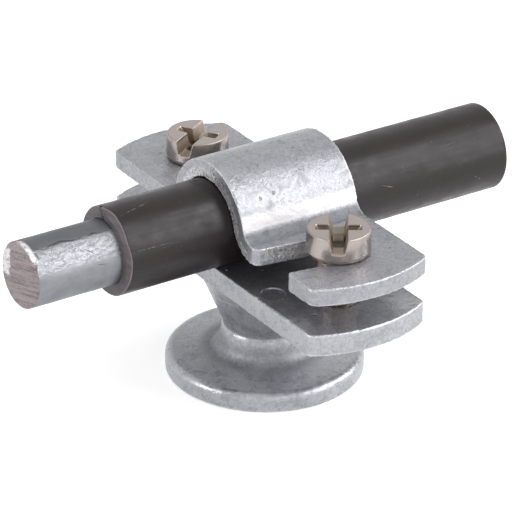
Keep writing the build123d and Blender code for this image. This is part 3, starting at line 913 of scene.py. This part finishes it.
class HOLDER_OT_cover(bpy.types.Operator):
    """Build the stamped cover with its saddle, round hole and open slot"""
    bl_idname = "holder.cover"
    bl_label = "Build cover"

    def execute(self, context):
        scene = context.scene
        s, rod, screws = scene.holder_cover, scene.holder_conductor, scene.holder_screws
        made = drawn("clamp_cover_skin", self.section(s, rod.height), -s.width / 2, s.width / 2)
        place(made, PRISM_ALONG_X)
        outline = rounded_strip(s.width, s.length, s.tip_radius, COVER_CORNER)
        combine(made, drawn("plan", outline, BELOW_COVER, ABOVE_SADDLE), "INTERSECT")
        drill(made, s.hole_radius, BELOW_COVER, ABOVE_WINGS, (0, screws.offset, 0))
        combine(made, self.slot(s, screws.offset), "DIFFERENCE")
        skin(made, grain=0.2 * MM, passes=2)
        wall = Vector((math.sin(s.slot_tilt), math.cos(s.slot_tilt)))
        arch, low, axis = s.arch_radius / MM, (s.wing_top - s.thickness) / MM, rod.height / MM
        bend, (bend_y, bend_z) = s.bend_radius / MM, self.bend_centre(s, rod.height)

        def bend_of(p):
            """Tilt of the bend's upper face there, in degrees, and distance from its middle."""
            out, up = bend_y / MM - abs(p.y), bend_z / MM - p.z
            return math.degrees(math.atan2(out, up)), math.hypot(out, up)

        def torn(p, n, edge):
            """1 on the torn inner half of the saddle's ends and the upper part of the slot's wall.
            The ends are torn above the wings only, the slot beside the screw."""
            inner = fade(math.hypot(p.y, p.z - axis), arch + 1.7, arch + 1.2)
            if abs(p.y) > arch + 1.5:
                inner = fade(bend_of(p)[1], bend + 1.1, bend + 1.6)
            inner *= fade(abs(n.x), 0.7, 0.85) * fade(p.z, 25.2, 26.4) * fade(abs(p.y), 10.6, 10.2)
            slot = fade(-n.y * wall.y - n.x * wall.x, 0.7, 0.85) * fade(p.z, low + 0.55, low + 0.8)
            return max(inner, slot * fade(p.x, -9.4, -8.2) * (-15 < p.y < -11))

        def unevenness(p, n, edge):
            """Dipped waviness, nicked edges and torn faces."""
            depth = 0.03 * waves(p, size=3.0, seed=5.0) + 0.015 * waves(p, size=0.9, seed=6.0)
            depth += nicks(p, edge, seed=7.0, least=0.45)
            return depth + 0.09 * torn(p, n, edge) * waves(p, size=0.45, seed=8.0)

        def dull(p, n, edge):
            """1 along the hollow of each bend, where the skin is rougher and shade is painted."""
            tilt, out = bend_of(p)
            across = fade(abs(out - bend), 0.8, 0.5) * fade(tilt, 68, 48) * fade(tilt, 0, 10)
            return across * fade(n.z, 0, 0.2)

        def fresh(p, n, edge):
            """1 low on each flank, down to the bend, where a highlight is painted in bright zinc on
            a rougher skin.
            """
            tilt = math.degrees(math.acos(min(max(n.z, -1), 1)))
            flank = fade(tilt, 60, 70) * fade(abs(n.x), 0.5, 0.3)
            return flank * fade(abs(p.y), arch + 1.4, arch + 2.0) * (p.z > s.wing_top / MM + 0.2)

        sink(made, unevenness, sheared=torn, dull=dull, fresh=fresh)
        colours = scene.holder_colours
        zinc = hot_dip_zinc("hot_dip_zinc_sheet", colours.cover_pale, colours.cover_dull, colours,
                            seed=2.0, specks=0.7)
        dress(made, [zinc], "galvanised_steel", "cover", "clamp_cover")
        return {"FINISHED"}

    def section(self, s, axis):
        """Side view of the strip, as (y, z) points: wing, bend, arch, bend and wing."""
        bend_y, bend_z = self.bend_centre(s, axis)
        lean = math.degrees(math.atan2(bend_z - axis, bend_y))

        def face(radius, bend):
            """One face of the strip from the -Y tip to the +Y tip."""
            left = arc((-bend_y, bend_z), bend, 270, 360 - lean, 16)
            over = arc((0, axis), radius, 180 - lean, lean, 120)[1:-1]
            right = arc((bend_y, bend_z), bend, 180 + lean, 270, 16)
            tip_y, tip_z = s.length / 2, bend_z - bend
            return [(-tip_y, tip_z), *left, *over, *right, (tip_y, tip_z)]

        lower = face(s.arch_radius, s.bend_radius + s.thickness)
        return lower + face(s.arch_radius + s.thickness, s.bend_radius)[::-1]

    def bend_centre(self, s, axis):
        """Middle of the bend from saddle to wing, as (y, z)."""
        height, reach = s.wing_top + s.bend_radius, s.arch_radius + s.thickness + s.bend_radius
        return math.sqrt(reach ** 2 - (height - axis) ** 2), height

    def slot(self, s, offset):
        """Cutter for the open slot, its mouth rounded out to the wing's side."""
        radius = s.slot_width / 2
        near = radius - SLOT_TO_SCREW
        centre = Vector((near * math.sin(s.slot_tilt), near * math.cos(s.slot_tilt) - offset, 0))
        side = 180 + math.degrees(s.slot_tilt)
        beyond = 10 * MM * Vector((math.cos(math.radians(side)), math.sin(math.radians(side))))
        lips = []
        for mouth, way in ((s.inner_mouth, 1), (s.outer_mouth, -1)):
            y = way * (radius + mouth)
            x = mouth - s.width / 2 - centre.x - y * math.sin(s.slot_tilt)
            lip = arc((x / math.cos(s.slot_tilt), y), mouth, 180 + 90 * way, side, 10)
            lips.append(lip + [(lip[-1][0] + beyond.x, lip[-1][1] + beyond.y)])
        outline = arc((0, 0), radius, -90, 90, 48) + lips[0] + lips[1][::-1]
        made = drawn("slot", outline, BELOW_COVER, ABOVE_WINGS)
        return place(made, Matrix.Rotation(-s.slot_tilt, 4, "Z"), Matrix.Translation(centre))


class HOLDER_OT_screws(bpy.types.Operator):
    """Build the two cheese-head screws with their combined drives"""
    bl_idname = "holder.screws"
    bl_label = "Build screws"

    def execute(self, context):
        s = context.scene.holder_screws
        material = plated_steel("nickel_plated_steel", context.scene.holder_colours)
        top, rim = s.head_height / MM, s.head_radius / MM

        def recess(p, n, edge):
            """1 inside the drive's slot and cross."""
            inside = fade(math.hypot(p.x, p.y), rim - 0.15, rim - 0.5)
            return inside * fade(top - p.z, 0.05, 0.7) * fade(p.z, 0.1, 0.3)

        def pit(p, n, edge):
            """1 at the bottom of the cross, where shade is painted."""
            inside = fade(math.hypot(p.x, p.y), 2.0, 1.2)
            return inside * fade(top - p.z, 1.7, 2.4) * fade(p.z, 0.1, 0.3)

        for side, y, turn in (("front", -s.offset, s.front_turn), ("rear", s.offset, s.rear_turn)):
            made = self.head(s, f"screw_{side}_head")
            sink(made, lambda p, n, edge: 0.01 * waves(p, size=0.8, seed=y), recess=recess, pit=pit)
            thread = threaded("thread", crest=s.thread_radius, depth=0.613 * s.pitch, pitch=s.pitch,
                              low=-s.length, high=0.5 * MM, lead=0.8 * MM)
            combine(made, thread, "UNION")
            made.data.shade_smooth()
            spot = Matrix.Translation((0, y, context.scene.holder_cover.wing_top))
            place(made, Matrix.Rotation(turn, 4, "Z"), spot)
            dress(made, [material], "plated_screw_steel", f"{side}_screw", f"screw_{side}")
        return {"FINISHED"}

    def head(self, s, name):
        """Cheese head with a tapering straight slot crossed by a recessed cross."""
        base, top, height = s.head_radius, s.head_top_radius, s.head_height
        bevel, above = 0.12 * MM, s.head_height + 1 * MM
        made = turned(name, [
            (0, 0), (base - 0.55 * MM, 0), (base - 0.2 * MM, 0.2 * MM), (base, 0.7 * MM),
            (top, height - bevel), (top - bevel, height), (0, height)], steps=160)
        # half width of the slot, from its floor up, and of the cross's arms along their length
        corner, floor = 0.4 * MM, height - s.slot_depth
        slot = arc((0.55 * MM, floor + corner), corner, 270, 350, 6) + [(1.53 * MM, above)]
        reach, deep = s.cross_radius, height - s.cross_depth
        low = reach - 0.42 * s.cross_depth
        arms = [(low - 0.5 * MM, deep), (low, deep + 0.5 * MM),
                (reach + 0.1 * MM, height), (reach + 0.5 * MM, above)]
        arm = 0.85 * MM
        for wall, half, turn in ((slot, 8 * MM, 0), (arms, arm, 0), (arms, arm, math.pi / 2)):
            cutter = drawn("cutter", [(-y, z) for y, z in reversed(wall)] + wall, -half, half)
            place(cutter, PRISM_ALONG_X, Matrix.Rotation(turn, 4, "Z"))
            combine(made, cutter, "DIFFERENCE")
        return skin(made, grain=0.1 * MM, passes=1)


def around(p, axis):
    """Degrees round the conductor's axis, from its top towards -Y, and distance from the axis."""
    return math.degrees(math.atan2(-p.y, p.z - axis)), math.hypot(p.y, p.z - axis)


class HOLDER_OT_conductor(bpy.types.Operator):
    """Build the sample conductor: sawn rod and cut-back sheath"""
    bl_idname = "holder.conductor"
    bl_label = "Build conductor"

    def execute(self, context):
        s, colours = context.scene.holder_conductor, context.scene.holder_colours
        lay = Matrix.Translation((0, 0, s.height))
        self.rod(s, colours, lay)
        self.sheath(s, colours, lay)
        return {"FINISHED"}

    def rod(self, s, colours, lay):
        """Zinc-coated rod with a wandering seam and a sawn, burred end."""
        radius, start, end = s.rod_radius, s.sawn_end, s.far_end
        bare = s.sheath_cut - start
        # rings close together over the sawn face and the bare length, for their fine marks
        profile = [(0, start)] + [(radius * q, start) for q in np.linspace(0.02, 0.985, 40)]
        profile += [(radius, start + q) for q in np.linspace(0.08 * MM, bare + 1.5 * MM, 84)]
        profile += [(radius, end - 0.1 * MM), (radius * 0.98, end), (0, end)]
        made = place(turned("conductor_core_rod", profile, steps=216), AXIS_ALONG_X, lay)
        axis, first, cut = s.height / MM, start / MM, s.sheath_cut / MM

        def seam(p, n, edge):
            """1 in the dark line that wanders along the rod."""
            wander = 25 + 2.5 * math.sin(1.1 * p.x)
            wander += 8 * (waves(Vector((p.x, 0, 0)), size=1.3, seed=2.0) - 0.5)
            line = fade(abs(around(p, axis)[0] - wander), 2.2, 0.5)
            return line * fade(p.x, first + 0.4, first + 1.5) * (p.x < cut + 1)

        def crown(p, n, edge):
            """1 on the strip over the top, which is painted darker as shade and made a little
            rougher.
            """
            angle = around(p, axis)[0]
            return fade(angle, 27, 24) * fade(angle, -70, -60)

        def crinkled(p, n, edge):
            """1 on the crinkled strip below the seam."""
            angle = around(p, axis)[0]
            return fade(angle, 20, 30) * fade(angle, 76, 66)

        def smear(p, n, edge):
            """1 where zinc is dragged over the sawn face: its +Y side and its upper -Y rim."""
            angle, out = around(p, axis)
            left = fade(abs(p.z - axis - 0.9), 3.0, 1.8) * fade(p.y, 2.2, 3.3)
            return max(left, fade(abs(angle - 20), 38, 26) * fade(out, 4.1, 4.5))

        def unevenness(p, n, edge):
            """Lumpy zinc and the seam's groove on the side, saw lines on the sawn face."""
            if p.x > cut + 1:
                return 0.02
            if n.x < -0.9:
                stroke = Vector((0, p.y * 0.08, p.z + 0.25 * p.y))
                return 0.03 + 0.05 * (waves(stroke, size=0.35, seed=4.0) - 0.5)
            lumps = 0.05 * waves(p, size=1.6, seed=9.0) + 0.02 * waves(p, size=0.6, seed=10.0)
            return lumps + 0.03 * seam(p, n, edge)

        def burr(p):
            """The saw cut's lean, the bevel of dragged zinc and a notch beside it."""
            angle, out = around(p, axis)
            bevel = 0.4 * fade(abs(angle - 20), 40, 26) * fade(out, 4.1, 4.9)
            notch = 0.35 * fade(abs(angle - 47), 7, 1) * fade(out, 4.0, 4.6)
            return math.tan(s.saw_tilt) * (p.z - axis - p.y) + max(bevel, notch)

        sink(made, unevenness, seam=seam, crown=crown, crinkled=crinkled, smear=smear)
        set_back(made, first, reach=3.0, back_at=burr)
        skins = [zinc_coated_rod("zinc_coated_rod", colours, s), sawn_steel("sawn_steel", colours)]
        dress(made, skins, "zinc_coated_rod", "holder_base", "conductor_core")
        self.face_ends(made)

    def sheath(self, s, colours, lay):
        """Sheath with its bore and an uneven knife-cut end."""
        inner, outer, cut, end = s.rod_radius + 0.02 * MM, s.sheath_radius, s.sheath_cut, s.far_end
        steps = 240
        # rings from the bore's far end to the cut, out across it, and back along the outside
        rings = [(inner, end), (inner, cut + 2 * MM), (inner, cut + 0.5 * MM), (inner, cut)]
        rings += [(inner + (outer - inner) * q, cut) for q in np.linspace(0.08, 0.96, 12)]
        rings += [(outer, cut + q) for q in np.linspace(0.08 * MM, 3 * MM, 14)]
        rings += [(outer, q) for q in np.linspace(cut + 3.5 * MM, end - 0.5 * MM, 100)]
        rings += [(outer, end - 0.12 * MM), (outer - 0.08 * MM, end - 0.02 * MM),
                  (outer - 0.2 * MM, end)]
        angles = [2 * math.pi * k / steps for k in range(steps)]
        points = [(r * math.cos(a), r * math.sin(a), x) for r, x in rings for a in angles]
        faces = []
        for ring in range(len(rings)):
            low, high = ring * steps, (ring + 1) % len(rings) * steps
            for k in range(steps):
                n = (k + 1) % steps
                faces.append((low + k, low + n, high + n, high + k))
        made = place(piece("conductor_sheath_tube", points, faces), AXIS_ALONG_X, lay)
        axis, wall_in, wall_out = s.height / MM, inner / MM, outer / MM

        def ripples(p, n, edge):
            """Ripples of the extrusion on the outside, none in the bore."""
            if around(p, axis)[1] <= wall_out - 0.1:
                return 0.0
            return 0.02 + 0.03 * waves(p / 3, size=1.5, seed=13.0)

        def knife(p):
            """The cut's wavering bevel and the crack at its top."""
            angle, out = around(p, axis)
            side = 0.5 + waves(Vector((angle / 28, 0, 0)), size=1.0, seed=4.0)
            side = fade(abs(angle - 60), 75, 40) * side
            bevel = (0.12 + 0.4 * side) * fade(out, wall_out - 0.35 - 0.75 * side, wall_out)
            crack = 0.35 * fade(abs(angle + 4 + 4.6 * (out - wall_in)), 2.2, 0.5)
            return bevel + crack + 0.1 * waves(p, size=2.0, seed=12.0)

        sink(made, ripples)
        set_back(made, cut / MM, reach=1.5, back_at=knife)
        skins = [black_pvc("black_pvc", colours, s), knife_cut_pvc("knife_cut_pvc", colours)]
        dress(made, skins, "black_pvc", "holder_base", "conductor_sheath")
        self.face_ends(made)

    def face_ends(self, made):
        """Gives the faces that look along X the second finish."""
        for face in made.data.polygons:
            face.material_index = int(abs(face.normal.x) > 0.5)


# Stage


# Half the side of the square floor
FLOOR_HALF = 3.0
# Strength, against a plain white of 1, of the white surroundings as light, and of what lifts the
# floor to white where it is seen
AMBIENT, FLOOR_LIFT = 0.58, 0.45
# Point that the lamps' directions and distances start from
LAMP_AIM = Vector((0, 0, 20 * MM))
# Name, turn from -Y towards +X and rise in degrees, width and height, distance, power in watts
SOFTBOXES = (
    ("low_right_softbox", 32, 10, (0.35, 0.3), 0.9, 1.0),
    ("right_softbox", 32, 32, (0.35, 0.35), 0.9, 1.9),
    ("high_softbox", 50, 54, (0.35, 0.35), 0.9, 1.8),
    ("side_softbox", 70, 25, (0.35, 0.35), 0.9, 2.7),
    ("left_softbox", -100, 20, (0.35, 0.35), 0.9, 2.8),
    ("front_softbox", -12, 15, (0.35, 0.35), 0.9, 0.5),
)


def outwards(turn, rise):
    """Direction away from the object, turned from -Y towards +X and raised, in radians."""
    return Vector((math.sin(turn) * math.cos(rise), -math.cos(turn) * math.cos(rise),
                   math.sin(rise)))


class HOLDER_OT_stage(bpy.types.Operator):
    """Set the pale floor, the soft light and the camera"""
    bl_idname = "holder.stage"
    bl_label = "Set stage"

    def execute(self, context):
        scene = context.scene
        self.floor(scene)
        self.daylight(scene)
        self.softboxes(scene)
        self.camera(scene)
        scene.view_settings.view_transform = "Standard"
        return {"FINISHED"}

    def floor(self, scene):
        """Pale floor, white where it is seen or mirrored, that keeps the object's shadow."""
        corners = ((-1, -1), (1, -1), (1, 1), (-1, 1))
        made = piece("floor", [(x * FLOOR_HALF, y * FLOOR_HALF, 0) for x, y in corners],
                     [(0, 1, 2, 3)])
        material, shader, add = finish("pale_floor", Roughness=0.9, Specular_IOR_Level=0.0,
                                       Emission_Color=(1, 1, 1, 1))
        lift = add("ShaderNodeMath", {0: self.seen(add), 1: FLOOR_LIFT}, operation="MULTIPLY")
        feed(shader, {"Base Color": rgba(scene.holder_colours.floor), "Emission Strength": lift})
        made.data.materials.append(material)

    def daylight(self, scene):
        """White surroundings: full strength where they are seen, gentler as light on the object."""
        world = bpy.data.worlds.new("white_surroundings")
        world.use_nodes = True
        scene.world = world
        add = partial(node, world.node_tree)
        strength = add("ShaderNodeMapRange", {"Value": self.seen(add), "To Min": AMBIENT,
                                              "To Max": 1.0})
        feed(world.node_tree.nodes["Background"], {"Color": (1, 1, 1, 1), "Strength": strength})

    def seen(self, add):
        """1 for rays from the camera, mirrors and glass, 0 for the light that falls on things."""
        path = add("ShaderNodeLightPath").outputs
        seen = path["Is Camera Ray"]
        for ray in ("Is Glossy Ray", "Is Transmission Ray"):
            seen = add("ShaderNodeMath", {0: seen, 1: path[ray]}, operation="MAXIMUM")
        return seen

    def softboxes(self, scene):
        """Large soft lamps that face the object."""
        for name, turn, rise, size, far, power in SOFTBOXES:
            lamp = bpy.data.lights.new(name, "AREA")
            lamp.shape, lamp.size, lamp.size_y, lamp.energy = "RECTANGLE", *size, power
            made = bpy.data.objects.new(name, lamp)
            away = outwards(math.radians(turn), math.radians(rise))
            made.location = LAMP_AIM + far * away
            made.rotation_euler = (-away).to_track_quat("-Z", "Y").to_euler()
            scene.collection.objects.link(made)

    def camera(self, scene):
        """Camera at the picture's angle, rolled as it was."""
        v = scene.holder_view
        data = bpy.data.cameras.new("camera")
        data.sensor_width, data.lens, data.clip_start = 36.0, v.lens, 0.01
        made = bpy.data.objects.new("camera", data)
        back = outwards(v.azimuth, v.elevation)
        right = Vector((math.cos(v.azimuth), math.sin(v.azimuth), 0))
        up = back.cross(right)
        across = math.cos(v.roll) * right + math.sin(v.roll) * up
        upright = -math.sin(v.roll) * right + math.cos(v.roll) * up
        turn = Matrix((across, upright, back)).transposed().to_4x4()
        spot = v.aim_shift * right + Vector((0, 0, v.aim_height)) + v.distance * back
        made.matrix_world = Matrix.Translation(spot) @ turn
        scene.collection.objects.link(made)
        scene.camera = made


class HOLDER_PT_pieces(bpy.types.Panel):
    """Lists the holder's pieces and its stage"""
    bl_idname = "HOLDER_PT_pieces"
    bl_label = "Conductor holder"
    bl_space_type = "VIEW_3D"
    bl_region_type = "UI"
    bl_category = "Holder"

    def draw(self, context):
        for operator in BUILD_ORDER:
            self.layout.operator(operator.bl_idname)


BUILD_ORDER = (HOLDER_OT_casting, HOLDER_OT_cover, HOLDER_OT_screws, HOLDER_OT_conductor,
               HOLDER_OT_stage)
SETTINGS = {
    "holder_casting": HolderCastingSizes,
    "holder_cover": HolderCoverSizes,
    "holder_screws": HolderScrewSizes,
    "holder_conductor": HolderConductorSizes,
    "holder_colours": HolderColours,
    "holder_view": HolderView,
}


def register():
    for kind in (*SETTINGS.values(), *BUILD_ORDER, HOLDER_PT_pieces):
        bpy.utils.register_class(kind)
    for name, kind in SETTINGS.items():
        setattr(bpy.types.Scene, name, PointerProperty(type=kind))


def unregister():
    for name in SETTINGS:
        delattr(bpy.types.Scene, name)
    for kind in (HOLDER_PT_pieces, *reversed(BUILD_ORDER), *SETTINGS.values()):
        bpy.utils.unregister_class(kind)


def main():
    """Builds every piece and the stage."""
    register()
    bpy.ops.holder.casting()
    bpy.ops.holder.cover()
    bpy.ops.holder.screws()
    bpy.ops.holder.conductor()
    bpy.ops.holder.stage()


if __name__ == "__main__":
    main()
